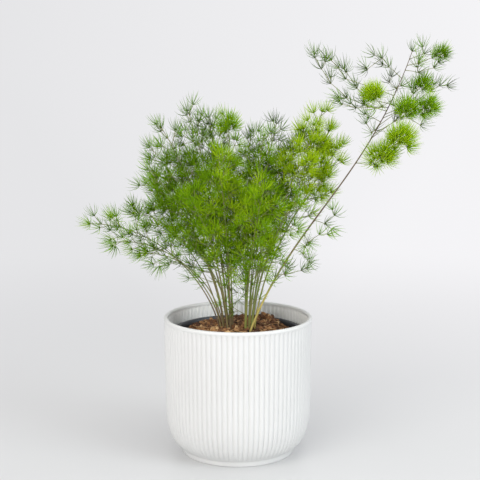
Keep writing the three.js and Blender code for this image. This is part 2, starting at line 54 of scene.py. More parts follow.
# Planter
RIB_COUNT = 88
RIB_STEPS = 10
RIB_DEPTH = 1.3
FLUTE_DEPTH = 1.1
PLANTER_HEIGHT = 134.5
PLANTER_RIM_RADIUS = 72.5
PLANTER_WALL = 3.0
LIP_WIDTH = 4.0
LIP_ROUNDING = 2.0
LIP_STEPS = 8
LIP_FOOT_HEIGHT = 131.5
LIP_FOOT_INSET = 0.1

# White of the planter from dull, 0, to bright, 1. The inside is painted brighter than the outside: painted
# light that stands in for the light on the inner wall
OUTSIDE_TONE = 0.2
INSIDE_PAINTED_LIGHT_TONE = 0.9

# Outside of the planter from foot to lip: radius, height and share of the full depth of the ribs
PLANTER_PROFILE = [
    (56.4, 5.6, 0), (58.2, 7.0, 0.15), (60.8, 9.3, 0.6), (63.7, 12.8, 1), (66.6, 18.3, 1),
    (68.6, 24.5, 1), (69.9, 30.5, 1), (70.7, 38, 1), (71.1, 49.5, 1), (71.4, 69.5, 1),
    (71.65, 90, 1), (71.9, 110, 1), (72.0, 125, 1), (72.1, 129.8, 1), (72.2, 130.8, 0.5),
]

# The planter's underside and smooth foot, and its floor inside: radius and height
PLANTER_FOOT = [
    (CLOSING_RADIUS, 0.6), (46, 0.6), (48, 0), (54.3, 0), (55.1, 0.3), (55.5, 1), (55.5, 4), (55.7, 4.8),
]
PLANTER_FLOOR = [(57, 8.5), (50, 5.4), (30, 5), (CLOSING_RADIUS, 5)]

# Rings of the profile, from the foot, that have no match on the inside
PROFILE_START_INSIDE = 3

# Nursery pot
NURSERY_FLOOR = 5.3
NURSERY_RIM_TOP = 121.0
NURSERY_RIM_RADIUS = 63.0
NURSERY_RIM_DEPTH = 8.0
NURSERY_BASE_RADIUS = 45.0
NURSERY_TOP_RADIUS = 61.2
NURSERY_WALL = 1.2
NURSERY_SIDES = 160
DRAIN_RADIUS = 4.0
DRAIN_CIRCLE = 30.0
DRAIN_COUNT = 4
DRAIN_SIDES = 24
DRAIN_OVERCUT = 2

# Soil
SOIL_TOP = 123.5
SOIL_BOTTOM = 6.9
SOIL_BOTTOM_CLEARANCE = 1.5
SOIL_EDGE_DROP = 13.0
SOIL_EDGE_CURVE = 1.4
SOIL_EDGE_DEPTH = 18
SOIL_FLAT_RADIUS = 24.0
SOIL_EDGE_RADIUS = 58.2
SOIL_SIDES = 200
SOIL_ROWS = 56
SOIL_INNER_SHARE = 0.0002
CLOD_HEIGHT = 0.9
LUMP_HEIGHT = 1.5
LUMP_FINENESS = 0.16
GRIT_HEIGHT = 0.9
GRIT_FINENESS = 0.6

# Mounds of the soil: x, y, width and height
SOIL_MOUNDS = [(29, 28, 13, 9), (-34, 20, 14, 2.5), (4, 32, 12, 2)]

# Tones of soil and litter from dark, 0, to pale tan, 1, with the spot at the front left that is paler
SOIL_TONE = 0.25
SOIL_TONE_SPREAD = 0.18
SOIL_TONE_FINENESS = 0.12
LITTER_TONE = 0.42
LITTER_TONE_SPREAD = 0.24
TAN_TONE = 0.28
TAN_PLACE = (-26, -34)
TAN_WIDTH = 32
FIBRE_EXTRA_TONE = 0.12
CHIP_TONE_SHARE = 0.8

# Litter on the soil: a size is the least and what a draw adds to it at most
LITTER_SEED = 11
LITTER_RADIUS = 57
CRUMBS = 2700
FIBRES = 2300
CHIPS = 300
CRUMB_SIZE = (0.6, 1.9)
CRUMB_LIFT = 0.25
FIBRE_LENGTH = (3, 9)
FIBRE_RADIUS = (0.14, 0.2)
FIBRE_TAPER = np.array([1, 1, 1, 0.8, 0.4])
FIBRE_LIFT = 0.5
FIBRE_LEAST_LIFT = 0.4
FIBRE_BEND = 1.6
FIBRE_RISE = 0.5
FIBRE_SINK = 0.12
CHIP_SIZE = ((1.2, 2.4), (0.7, 1.2), (0.3, 0.5))
CHIP_LIFT = 0.7
CHIP_TILT = 0.7

# Stems, from the soil up
STEM_RADIUS = 0.64
LONG_STEM_RADIUS = 1.05
STEM_TIP_RADIUS = 0.3
STEM_TAPER = 1.1
STEM_SIDES = 8
STEM_DEPTH = 12.0
STEM_STEP = 5
STEM_LEAST_STEPS = 24
BASE_SPACING = 3.1
BASE_SQUEEZE = 0.0725
BASE_ROUNDS = 200

# Curve of a bush cane: how far out and how high its two inner points lie, by the tip's own numbers
CANE_LOW_OUT = 0.07
CANE_LOW_RISE = 0.4
CANE_LEAST_RISE = 43
CANE_HIGH_OUT = 0.6
CANE_HIGH_RISE = 0.8
ARCH_DRAW_IN = 0.006

# Side branches, whose leans are in degrees off the cane
NODE_SPACING = 7.5
LEAST_TWIGS = 3
TWIG_TURN_SPREAD = 0.7
TWIG_LEAN = 66
TWIG_LEAN_LOSS = 24
TWIG_LENGTH_LOSS = 0.36
TWIG_LEAST_LENGTH = 0.7
TWIG_LENGTH_SPREAD = 0.6
TWIG_FULL_FROM = 1.15
TWIG_WANDER = 0.3
TWIG_RISE = 0.4
TWIG_RADII = [0.36, 0.33, 0.3, 0.27, 0.24]
TWIG_SIDES = 5

# Tufts: stalks are the least length and what a draw adds, and the low share of a cane has fewer
TUFT_SPACING = 7.0
TUFT_FREE_END = 5
TWIN_MISSING = 0.35
SIDE_TUFT_FORWARD = 0.55
SIDE_TUFT_OUT = 0.8
SIDE_TUFT_RISE = 0.25
SIDE_STALK = (3, 8)
STALK_RADII = [0.26, 0.22, 0.2]
STALK_SIDES = 4
STALK_BOW = 0.2
NEEDLES_PER_TUFT = 15
NEEDLES_PER_SPRAY_TUFT = 13
NEEDLES_PER_CLUMP_TUFT = 25
SESSILE_NEEDLES = 8
SESSILE_SIZE = 0.8
LOW_NEEDLES = 9
LOW_SHARE = 0.3
TUFT_HALF_ANGLE = math.radians(84)
TUFT_TURN = 6.28
TUFT_SHADE_SPREAD = 0.34

# Sprays of the long cane
SPRAY_BOW = 0.6
SPRAY_RISE = 0.35
SPRAY_TUFT_FORWARD = 0.6
SPRAY_TUFT_RISE = 0.3
SPRAY_STALK = (4, 5)
LONG_TIP_TINT = 0.3

# Round clumps: tufts cover the ball from its top down, at a share of its radius that a draw sets
CLUMP_COVER = 1.7
CLUMP_LEAST_SHARE = 0.45
CLUMP_SHARE_SPREAD = 0.5
CLUMP_NEEDLE_SIZE = 0.56
CLUMP_NEEDLE_GROWTH = 0.04
CLUMP_ROOT_SHARE = 0.8

# Needles: rings of three points by share of the length, and their width by share of the radius
NEEDLE_LENGTH = 16.0
NEEDLE_LEAST_LENGTH = 0.72
NEEDLE_LENGTH_SPREAD = 0.42
NEEDLE_RADIUS = 0.25
NEEDLE_BEND = 0.38
NEEDLE_RISE = 0.4
NEEDLE_SHADE_SPREAD = 0.36
NEEDLE_SHARES = [0.0, 0.3, 0.68]
NEEDLE_WIDTHS = [0.8, 1.0, 0.72]
NEEDLE_TURNS = np.arange(3) * TAU / 3

# The bud under a tuft, as place along its way and radius
BUD = [(-0.7, 0.22), (-0.1, 0.48), (0.5, 0.42), (0.9, 0.1)]
BUD_SIDES = 5

# A cane's materials by number
STEM_SLOT = 0
NEEDLE_SLOT = 1

# Tones of the stems from dark brown, 0, over green to straw, 1
FOOT_TONE = 0.1
FOOT_TONE_SPREAD = 0.4
RIGHT_FOOT_EXTRA = 0.36
GREEN_TONE = 0.56
LONG_CANE_TONES = (0.90, 0.10)
UPPER_TONE_FROM = 0.1
UPPER_TONE_OVER = 0.3
TWIG_TONE = 0.52
STALK_TONE = 0.54
TINT_IN_TWIGS = 0.1
BUD_TONE = 0.3
TINT_IN_BUDS = 0.3
SCALE_TONE = 0.08
SCALE_TONE_SPREAD = 0.1

# Canes of the bush: crown, tip as x, y and height over the soil, reach of the side branches,
# share of the cane that is bare, arch, and tint from dark green, 0, to bright yellow-green, 1.
# Each crown is a place on the soil
LEFT = (-7, -7)
RIGHT = (8, -15)
CANES = [
    (LEFT, (-142, -4, 102), 24, 0.54, 22, 0.55),
    (LEFT, (-100, 8, 111), 24, 0.50, 20, 0.45),
    (LEFT, (-116, -16, 86), 20, 0.54, 22, 0.55),
    (LEFT, (-92, -22, 76), 22, 0.46, 18, 0.40),
    (LEFT, (-58, -36, 94), 20, 0.50, 10, 0.45),
    (LEFT, (-88, 6, 140), 32, 0.34, 10, 0.45),
    (LEFT, (-72, -10, 194), 36, 0.38, 0, 0.35),
    (LEFT, (-48, 10, 209), 30, 0.38, 0, 0.35),
    (LEFT, (-29, 34, 202), 34, 0.32, 0, 0.30),
    (LEFT, (-9, -6, 203), 32, 0.30, 0, 0.60),
    (LEFT, (-44, 64, 158), 34, 0.28, 6, 0.30),
    (LEFT, (-46, -52, 134), 34, 0.30, 6, 0.60),
    (LEFT, (-18, -50, 172), 34, 0.32, 0, 0.75),
    (LEFT, (-82, 44, 132), 32, 0.32, 8, 0.35),
    (LEFT, (-85, 16, 174), 28, 0.38, 2, 0.40),
    (LEFT, (-26, 56, 92), 26, 0.30, 6, 0.40),
    (LEFT, (-10, -30, 84), 20, 0.16, 0, 0.50),
    (LEFT, (-84, -24, 156), 28, 0.44, 4, 0.45),
    (RIGHT, (24, -26, 187), 34, 0.28, 0, 0.45),
    (RIGHT, (37, 12, 197), 30, 0.30, 0, 0.15),
    (RIGHT, (62, 38, 180), 32, 0.32, 2, 0.20),
    (RIGHT, (79, -12, 209), 26, 0.50, -14, 0.95),
    (RIGHT, (88, 6, 192), 28, 0.54, -12, 0.85),
    (RIGHT, (97, 4, 176), 28, 0.52, -6, 0.80),
    (RIGHT, (90, 24, 148), 18, 0.60, 6, 0.40),
    (RIGHT, (62, 10, 187), 26, 0.40, 0, 0.30),
    (RIGHT, (24, -64, 142), 32, 0.30, 4, 0.68),
    (RIGHT, (54, -50, 128), 24, 0.42, 6, 0.50),
    (RIGHT, (38, 66, 144), 34, 0.28, 6, 0.25),
    (RIGHT, (8, 70, 128), 34, 0.28, 6, 0.35),
    (RIGHT, (12, 26, 184), 34, 0.28, 0, 0.30),
    (RIGHT, (30, -52, 88), 18, 0.40, 6, 0.60),
    (RIGHT, (16, 4, 90), 20, 0.12, 0, 0.45),
]

# Needles in a tuft of the canes that are denser than the rest, by number, and their size
DENSE_CANES = {
    2: (22, 1.0), 3: (19, 1.0), 10: (18, 0.86),
    22: (24, 0.92), 23: (24, 0.92), 24: (24, 0.92),
}

# Clumps of young growth near the tip of a bush cane: radius, tufts, place along the cane and tint
TIP_CLUMPS = {
    10: (8, 10, 0.96, 0.68),
    23: (8, 9, 0.9, 0.85),
}

# The long cane, which leans far out to the right, as the four points of its curve over the soil
LONG_CANE = [(11, -27, 0), (50, -28, 107), (119, -20, 141), (161, -20, 265)]

# Sprays of the long cane: share of its length, tufts outward along the twig, and round clumps past
# the last tuft as x, y, height, radius and number of tufts; then the tint
SPRAYS = [
    (0.176, [(34, -20, 48), (44, -16, 56)], [], 0.35),
    (0.205, [(44, -24, 56), (60, -24, 60)], [], 0.35),
    (0.298, [(62, -8, 74), (69, 0, 64)], [], 0.35),
    (0.353, [(66, -30, 88), (76, -34, 96)], [], 0.50),
    (0.407, [(81, -31, 106), (90, -34, 114)], [], 0.35),
    (0.624, [(126, -32, 160)], [(133, -36, 168, 11, 21), (148, -42, 184, 11, 22)], 0.80),
    (0.712, [(148, -4, 200), (160, 2, 204), (174, 4, 196)], [], 0.30),
    (0.727, [(150, -32, 204)], [(156, -34, 211, 7, 12), (174, -30, 213, 8, 13)], 0.60),
    (0.742, [(126, -14, 190), (121, -10, 198)], [], 0.30),
    (0.756, [(146, -26, 208), (158, -20, 216)], [], 0.45),
    (0.769, [(120, -10, 207)], [], 0.30),
    (0.782, [(158, -10, 212), (165, -6, 226)], [(174, 0, 233, 7, 12)], 0.50),
    (0.794, [(168, 2, 218), (184, 10, 228), (193, 12, 233)], [], 0.30),
    (
        0.806,
        [(117, -28, 216), (100, -34, 223), (85, -36, 236), (76, -40, 249), (70, -42, 259)],
        [],
        0.25,
    ),
    (0.818, [(108, -40, 214), (95, -44, 217)], [], 0.25),
    (0.830, [(126, -12, 220), (112, -8, 231), (100, -2, 249)], [], 0.25),
    (0.843, [(133, -34, 215)], [(124, -38, 225, 7, 17)], 0.84),
    (0.858, [(100, -24, 240), (86, -26, 257)], [], 0.25),
    (0.879, [(139, -30, 237)], [], 0.20),
    (0.893, [(149, -8, 231)], [], 0.20),
    (0.914, [(141, -12, 251), (135, -8, 259), (122, -4, 249)], [], 0.25),
    (0.940, [(168, -12, 246), (183, -10, 250)], [], 0.25),
    (0.955, [(166, -24, 254), (178, -28, 259)], [(186, -30, 262, 5, 7)], 0.45),
    (0.975, [(174, -8, 263)], [], 0.30),
]

# Camera fitted to the photograph, in metres and degrees
CAMERA_PLACE = (0.0019, -1.051, 0.3715)
CAMERA_PITCH = 8.78
CAMERA_LENS = 82.5
CAMERA_SENSOR = 36
CAMERA_REACH = 200

# Studio: the backdrop from left to right and the room round the camera, as linear colours
BACKDROP_LEFT = (0.785, 0.785, 0.80)
BACKDROP_RIGHT = (0.91, 0.905, 0.925)
ROOM = (0.42, 0.42, 0.43)

# The backdrop's gradient runs over this much of a direction's sideways share, to each side
BACKDROP_SPAN = 0.22

# Shares of a direction, away from the camera and upward, over which the room turns into the backdrop
BACKDROP_BEHIND = (0.35, 0.8)
BACKDROP_LOW = (0.45, 0.15)

# Floor: its rings in millimetres, and the distances in metres over which it fades into the backdrop
FLOOR_RINGS = (60000, 12000, 5000, 2000, 900, 400, 150, 0.1)
FLOOR_SIDES = 96
FLOOR_FADE = (-0.25, 1.3)
FLOOR_COLOUR = (0.635, 0.64, 0.64, 1)

# Lights: name, place in metres, width, watts and colour
LIGHTS = [
    ("front", (-0.75, -2.3, 0.8), 1.3, 23.0, (1.0, 0.982, 0.958)),
    ("key", (-1.0, -1.2, 1.4), 1.0, 11.0, (1.0, 0.97, 0.92)),
    ("fill", (1.4, -0.9, 0.9), 1.0, 14.0, (0.90, 0.965, 1.0)),
    ("top", (0.1, -0.2, 1.9), 1.2, 10.0, (1.0, 1.0, 1.0)),
]
LIGHT_AIM = (0, 0, 0.18)

# A tuft: where it sits and points, the root of its stalk, if any, and its needles. The key keeps its
# draws apart from those of other tufts
Tuft = namedtuple("Tuft", "place way root count key tint size")

# A side branch: its curve, the ways it leaves and ends, and its length
Branch = namedtuple("Branch", "start middle end leave way length")


def chance(a, b, c):
    """A repeatable draw between 0 and 1 for three whole numbers."""
    s = math.sin(a * 127.1 + b * 311.7 + c * 74.7) * 43758.5453
    return s - math.floor(s)


def unit(v):
    """A vector made 1 long."""
    v = np.asarray(v, float)
    return v / np.linalg.norm(v)


def side_axes(direction):
    """Two directions square to a direction."""
    first = unit(np.cross(direction, (0, 1, 0)))
    return first, np.cross(direction, first)


class Build:
    """Points, faces and per-point numbers of one mesh, collected part by part."""

    def __init__(self):
        self.points = []
        self.faces = []
        self.slots = []
        self.values = {}
        self.count = 0

    def add(self, points, faces, slot=0, **values):
        """Points and faces of one material, with numbers for the shader at the points."""
        points = np.asarray(points, float).reshape(-1, 3)
        self.points.append(points)
        self.faces.extend([[i + self.count for i in face] for face in faces])
        self.slots.extend([slot] * len(faces))
        for name in values:
            run = np.broadcast_to(values[name], len(points))
            self.values.setdefault(name, []).append((self.count, run))
        self.count += len(points)

    def finish(self, name, materials, nodes=(), smooth=True):
        """The mesh as a piece that rides on the object and stands for the CAD nodes given."""
        mesh = bpy.data.meshes.new(name)
        points = np.concatenate(self.points) * MM
        mesh.from_pydata(points.tolist(), [], self.faces)
        for material in materials:
            mesh.materials.append(material)
        mesh.polygons.foreach_set("material_index", self.slots)
        mesh.polygons.foreach_set("use_smooth", [smooth] * len(self.faces))
        for key, runs in self.values.items():
            numbers = np.zeros(self.count, np.float32)
            for start, run in runs:
                numbers[start:start + len(run)] = run
            mesh.attributes.new(key, "FLOAT", "POINT").data.foreach_set("value", numbers)
        mesh.update()
        piece = bpy.data.objects.new(name, mesh)
        bpy.context.scene.collection.objects.link(piece)
        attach(piece, "root")
        if nodes:
            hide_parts(*nodes)
        return piece


def grid_faces(rows, columns, closed=True):
    """Quads between rows of points, each row running round or along."""
    faces = []
    last = columns if closed else columns - 1
    for r in range(rows - 1):
        for c in range(last):
            d = (c + 1) % columns
            faces.append((r * columns + c, r * columns + d, (r + 1) * columns + d, (r + 1) * columns + c))
    return faces


def tube(path, radii, sides):
    """Points and faces of a round tube along a path, closed at both ends."""
    path = np.asarray(path, float)
    tangents = np.gradient(path, axis=0)
    rings = []
    for point, tangent, radius in zip(path, tangents, radii):
        first, second = side_axes(unit(tangent))
        turns = np.arange(sides) * TAU / sides
        rings.append(point + radius * (np.outer(np.cos(turns), first) + np.outer(np.sin(turns), second)))
    faces = grid_faces(len(path), sides)
    faces.append(tuple(range(sides - 1, -1, -1)))
    faces.append(tuple(range((len(path) - 1) * sides, len(path) * sides)))
    return np.concatenate(rings), faces


def ring(radius, height, sides):
    """Points of a level ring about the middle of the pot."""
    turns = np.arange(sides) * TAU / sides
    return np.column_stack([radius * np.cos(turns), radius * np.sin(turns), np.full(sides, height)])


def curve(start, middle, end, t):
    """The point at t on a curve from start to end that bends towards middle."""
    return (1 - t) ** 2 * start + 2 * (1 - t) * t * middle + t * t * end


# Materials

def new_material(name):
    """A new material with its nodes, its links and its main shader."""
    material = bpy.data.materials.new(name)
    material.use_nodes = True
    nodes = material.node_tree.nodes
    return material, nodes, material.node_tree.links, nodes["Principled BSDF"]


def ramp(nodes, stops):
    """A colour ramp from stops, each a place and a linear colour."""
    node = nodes.new("ShaderNodeValToRGB")
    elements = node.color_ramp.elements
    elements[0].position, elements[0].color = stops[0][0], (*stops[0][1], 1)
    elements[1].position, elements[1].color = stops[-1][0], (*stops[-1][1], 1)
    for place, colour in stops[1:-1]:
        element = elements.new(place)
        element.color = (*colour, 1)
    return node


def noise_value(nodes, links, scale, detail=4.0, roughness=0.5):
    """Noise that sticks to the piece."""
    place = nodes.new("ShaderNodeTexCoord")
    node = nodes.new("ShaderNodeTexNoise")
    node.inputs["Scale"].default_value = scale
    node.inputs["Detail"].default_value = detail
    node.inputs["Roughness"].default_value = roughness
    links.new(place.outputs["Object"], node.inputs["Vector"])
    return node.outputs["Fac"]


def math_node(nodes, links, operation, *values, clamp=False):
    """A sum on numbers or on the outputs of other nodes."""
    node = nodes.new("ShaderNodeMath")
    node.operation = operation
    node.use_clamp = clamp
    for socket, value in zip(node.inputs, values):
        if isinstance(value, (int, float)):
            socket.default_value = value
        else:
            links.new(value, socket)
    return node.outputs[0]


def map_range(nodes, links, value, limits, smooth=False):
    """A value as 0 at the first limit and 1 at the second."""
    node = nodes.new("ShaderNodeMapRange")
    if smooth:
        node.interpolation_type = "SMOOTHSTEP"
    node.inputs["From Min"].default_value = limits[0]
    node.inputs["From Max"].default_value = limits[1]
    links.new(value, node.inputs["Value"])
    return node.outputs["Result"]


def attribute(nodes, name):
    """A number that the mesh carries at its points."""
    node = nodes.new("ShaderNodeAttribute")
    node.attribute_name = name
    return node.outputs["Fac"]


def varied(nodes, links, name, texture, amount, clamp=True):
    """A number of the mesh, moved up and down by noise."""
    spread = math_node(nodes, links, "MULTIPLY_ADD", texture, amount, -amount / 2)
    return math_node(nodes, links, "ADD", attribute(nodes, name), spread, clamp=clamp)


def colour_by(nodes, links, shader, value, stops):
    """The shader's colour from a value, through a colour ramp."""
    colours = ramp(nodes, stops)
    links.new(value, colours.inputs["Fac"])
    links.new(colours.outputs["Color"], shader.inputs["Base Color"])


def bump(nodes, links, shader, height, strength, distance):
    """Fine relief on the shader."""
    node = nodes.new("ShaderNodeBump")
    node.inputs["Strength"].default_value = strength
    node.inputs["Distance"].default_value = distance
    links.new(height, node.inputs["Height"])
    links.new(node.outputs["Normal"], shader.inputs["Normal"])


def planter_material():
    """Satin white plastic with a faint moulded grain; its inside is painted lighter than its outside, as
    painted light on the inner wall.
    """
    material, nodes, links, shader = new_material("planter_white")
    cloud = noise_value(nodes, links, 14.0, 5.0)
    # The tone attribute carries painted light: it is higher inside the planter, so the inner wall is
    # painted lighter. The noise adds real variation
    tone = varied(nodes, links, "tone", cloud, 0.3)
    colour_by(nodes, links, shader, tone, [(0.0, (0.64, 0.642, 0.635)), (1.0, (0.93, 0.933, 0.925))])
    grain = noise_value(nodes, links, 900.0, 3.0)
    rough = math_node(nodes, links, "MULTIPLY_ADD", grain, 0.12, 0.30)
    links.new(rough, shader.inputs["Roughness"])
    bump(nodes, links, shader, grain, 0.05, 0.0003)
    return material


def nursery_material():
    """Dull charcoal plastic with fine scuffs."""
    material, nodes, links, shader = new_material("nursery_charcoal")
    cloud = noise_value(nodes, links, 60.0, 6.0)
    colour_by(nodes, links, shader, cloud, [(0.3, (0.018, 0.02, 0.026)), (0.75, (0.05, 0.056, 0.068))])
    shader.inputs["Roughness"].default_value = 0.42
    bump(nodes, links, shader, cloud, 0.12, 0.0004)
    return material


def soil_material():
    """Damp coir and bark compost: each crumb has its own tone, broken up by fine noise."""
    material, nodes, links, shader = new_material("soil_compost")
    fine = noise_value(nodes, links, 700.0, 6.0, 0.65)
    colour_by(nodes, links, shader, varied(nodes, links, "tone", fine, 0.5), [
        (0.0, (0.026, 0.014, 0.009)), (0.3, (0.105, 0.045, 0.022)), (0.55, (0.25, 0.115, 0.048)),
        (0.8, (0.46, 0.25, 0.105)), (1.0, (0.68, 0.46, 0.23)),
    ])
    shader.inputs["Roughness"].default_value = 0.88
    bump(nodes, links, shader, fine, 0.5, 0.0006)
    return material


def stem_material():
    """Wiry stems: brown to olive below, by each cane's tone, and green above."""
    material, nodes, links, shader = new_material("stem_green")
    streaks = noise_value(nodes, links, 260.0, 4.0)
    colour_by(nodes, links, shader, varied(nodes, links, "tone", streaks, 0.36), [
        (0.0, (0.085, 0.058, 0.042)), (0.2, (0.17, 0.12, 0.068)), (0.42, (0.26, 0.215, 0.085)),
        (0.62, (0.18, 0.22, 0.055)), (0.82, (0.37, 0.33, 0.075)), (1.0, (0.58, 0.44, 0.15)),
    ])
    shader.inputs["Roughness"].default_value = 0.45
    bump(nodes, links, shader, streaks, 0.25, 0.0003)
    return material


def needle_material():
    """Needles: dark to yellow-green by each needle's tint, a little lighter towards its point."""
    material, nodes, links, shader = new_material("needle_green")
    mottle = noise_value(nodes, links, 90.0, 3.0)
    tinted = varied(nodes, links, "tint", mottle, 0.3, clamp=False)
    along = math_node(nodes, links, "MULTIPLY", attribute(nodes, "along"), 0.07)
    colour_by(nodes, links, shader, math_node(nodes, links, "ADD", tinted, along, clamp=True), [
        (0.0, (0.034, 0.066, 0.005)), (0.3, (0.098, 0.200, 0.005)),
        (0.6, (0.195, 0.400, 0.006)), (1.0, (0.42, 0.60, 0.012)),
    ])
    shader.inputs["Roughness"].default_value = 0.65
    shader.inputs["Specular IOR Level"].default_value = 0.05
    return material


# Planter

def planter_rings():
    """Rings of the planter from the middle of its underside, up the outside, over the lip and down inside.

    Each is radius, height and depth of the grooves there. The number of the first ring inside the lip
    comes with them.
    """
    rings = [(r, z, 0) for r, z in PLANTER_FOOT]
    rings += [(r, z, RIB_DEPTH * share) for r, z, share in PLANTER_PROFILE]
    rings.append((PLANTER_RIM_RADIUS - LIP_FOOT_INSET, LIP_FOOT_HEIGHT, 0))
    middle = PLANTER_RIM_RADIUS - LIP_WIDTH / 2
    for step in range(LIP_STEPS + 1):
        turn = step / LIP_STEPS * math.pi
        radius = middle + LIP_WIDTH / 2 * math.cos(turn)
        rings.append((radius, PLANTER_HEIGHT - LIP_ROUNDING + LIP_ROUNDING * math.sin(turn), 0))
    first_inside = len(rings)
    rings.append((PLANTER_RIM_RADIUS - LIP_WIDTH + LIP_FOOT_INSET, LIP_FOOT_HEIGHT, 0))
    for r, z, share in reversed(PLANTER_PROFILE[PROFILE_START_INSIDE:]):
        rings.append((r - PLANTER_WALL, z, FLUTE_DEPTH * share))
    rings += [(r, z, 0) for r, z in PLANTER_FLOOR]
    return rings, first_inside


def build_planter():
    """The white planter, with round ribs and a sharp groove between each two."""
    steps = RIB_COUNT * RIB_STEPS
    turns = np.arange(steps) * TAU / steps
    across = 2 * (np.arange(steps) % RIB_STEPS) / RIB_STEPS - 1
    groove = 1 - np.sqrt(1 - across ** 2)
    build = Build()
    rings, first_inside = planter_rings()
    points = []
    tones = []
    for number, (radius, height, depth) in enumerate(rings):
        r = radius - depth * groove
        points.append(np.column_stack([r * np.sin(turns), -r * np.cos(turns), np.full(steps, height)]))
        # Rings inside the lip take the brighter tone: painted light on the inner wall
        tones += [INSIDE_PAINTED_LIGHT_TONE if number >= first_inside else OUTSIDE_TONE] * steps
    build.add(np.concatenate(points), grid_faces(len(rings), steps), tone=tones)
    return build.finish("planter_ribbed", [planter_material()], ["planter"])


# Nursery pot

def nursery_radius(z):
    """Outer radius of the nursery pot's wall at a height."""
    share = (z - NURSERY_FLOOR) / (NURSERY_RIM_TOP - NURSERY_FLOOR)
    return NURSERY_BASE_RADIUS + (NURSERY_TOP_RADIUS - NURSERY_BASE_RADIUS) * share


def nursery_rings():
    """Radius and height of the pot's rings, up the outside, over the rim and down inside."""
    rim_low = NURSERY_RIM_TOP - NURSERY_RIM_DEPTH
    floor_top = NURSERY_FLOOR + NURSERY_WALL
    wall = NURSERY_WALL
    top = NURSERY_RIM_TOP
    rim = NURSERY_RIM_RADIUS
    return [
        (CLOSING_RADIUS, NURSERY_FLOOR), (NURSERY_BASE_RADIUS - 1, NURSERY_FLOOR),
        (nursery_radius(6.3), 6.3), (nursery_radius(40), 40), (nursery_radius(80), 80),
        (nursery_radius(rim_low - 1), rim_low - 1), (nursery_radius(rim_low), rim_low),
        (rim - 0.3, rim_low), (rim, rim_low + 0.4), (rim, top - 1.4), (rim + 0.35, top - 1.1),
        (rim + 0.5, top - 0.5), (rim + 0.2, top), (rim - 0.6, top + 0.15),
        (nursery_radius(top) - wall + 0.4, top), (nursery_radius(top) - wall, top - 0.6),
        (nursery_radius(top - 4) - wall, top - 4), (nursery_radius(80) - wall, 80),
        (nursery_radius(floor_top + 1) - wall, floor_top + 1), (44, floor_top), (CLOSING_RADIUS, floor_top),
    ]


def build_drain_cutter():
    """Round pegs that cut the drain holes."""
    cutters = Build()
    turns = np.arange(DRAIN_SIDES) * TAU / DRAIN_SIDES
    for k in range(DRAIN_COUNT):
        turn = k / DRAIN_COUNT * TAU
        x = DRAIN_CIRCLE * math.cos(turn) + DRAIN_RADIUS * np.cos(turns)
        y = DRAIN_CIRCLE * math.sin(turn) + DRAIN_RADIUS * np.sin(turns)
        low = np.column_stack([x, y, np.full(DRAIN_SIDES, NURSERY_FLOOR - DRAIN_OVERCUT)])
        high = low + UP * (NURSERY_WALL + 2 * DRAIN_OVERCUT)
        faces = grid_faces(2, DRAIN_SIDES)
        faces.append(tuple(range(DRAIN_SIDES - 1, -1, -1)))
        faces.append(tuple(range(DRAIN_SIDES, 2 * DRAIN_SIDES)))
        cutters.add(np.concatenate([low, high]), faces)
    return cutters.finish("drain_cutters", [])


def build_nursery_pot():
    """The black nursery pot with its drain holes."""
    build = Build()
    rings = nursery_rings()
    points = [ring(radius, height, NURSERY_SIDES) for radius, height in rings]
    build.add(np.concatenate(points), grid_faces(len(rings), NURSERY_SIDES))
    pot = build.finish("nursery_pot_fine", [nursery_material()], ["nursery_pot"])
    cutter = build_drain_cutter()
    cut = pot.modifiers.new("drain_holes", "BOOLEAN")
    cut.operation = "DIFFERENCE"
    cut.object = cutter
    bpy.context.view_layer.objects.active = pot
    bpy.ops.object.modifier_apply(modifier=cut.name)
    bpy.data.objects.remove(cutter)
    return pot


# Soil

def soil_height(x, y):
    """The soil without its fine lumps: low towards the edge, with mounds and clods."""
    slope = (np.hypot(x, y) - SOIL_FLAT_RADIUS) / (NURSERY_TOP_RADIUS - SOIL_FLAT_RADIUS)
    edge = np.clip(slope, 0, 1)
    height = SOIL_TOP - SOIL_EDGE_DROP * edge ** SOIL_EDGE_CURVE
    for cx, cy, width, rise in SOIL_MOUNDS:
        height = height + rise * np.exp(-((x - cx) ** 2 + (y - cy) ** 2) / width ** 2)
    clods = np.sin(x * 0.31 + 1) * np.cos(y * 0.27 - 2) + 0.6 * np.sin(x * 0.57 - y * 0.49)
    return height + CLOD_HEIGHT * clods


def soil_relief(x, y):
    """Lumps and grit on the soil, each from its own layer of the noise."""
    lumps = noise.fractal(Vector((x * LUMP_FINENESS, y * LUMP_FINENESS, 3.1)), 0.9, 2.1, 4)
    grit = noise.fractal(Vector((x * GRIT_FINENESS, y * GRIT_FINENESS, 7.7)), 0.9, 2.1, 3)
    return LUMP_HEIGHT * lumps + GRIT_HEIGHT * grit


def build_soil():
    """The soil: flat below, with its surface in rings from the edge to the middle."""
    turns = np.arange(SOIL_SIDES) * TAU / SOIL_SIDES
    rows = [
        ring(CLOSING_RADIUS, SOIL_BOTTOM, SOIL_SIDES),
        ring(nursery_radius(SOIL_BOTTOM) - SOIL_BOTTOM_CLEARANCE, SOIL_BOTTOM, SOIL_SIDES),
        ring(SOIL_EDGE_RADIUS, SOIL_TOP - SOIL_EDGE_DEPTH, SOIL_SIDES),
    ]
    for share in np.linspace(1, SOIL_INNER_SHARE, SOIL_ROWS):
        x = SOIL_EDGE_RADIUS * share * np.cos(turns)
        y = SOIL_EDGE_RADIUS * share * np.sin(turns)
        z = soil_height(x, y) + [soil_relief(a, b) for a, b in zip(x, y)]
        rows.append(np.column_stack([x, y, z]))
    points = np.concatenate(rows)
    clouds = np.array([noise.fractal(Vector(p) * SOIL_TONE_FINENESS, 1, 2, 3) for p in points])
    build = Build()
    build.add(points, grid_faces(len(rows), SOIL_SIDES), tone=SOIL_TONE + SOIL_TONE_SPREAD * clouds)
    return build.finish("soil_mound", [soil_material()], ["soil"])


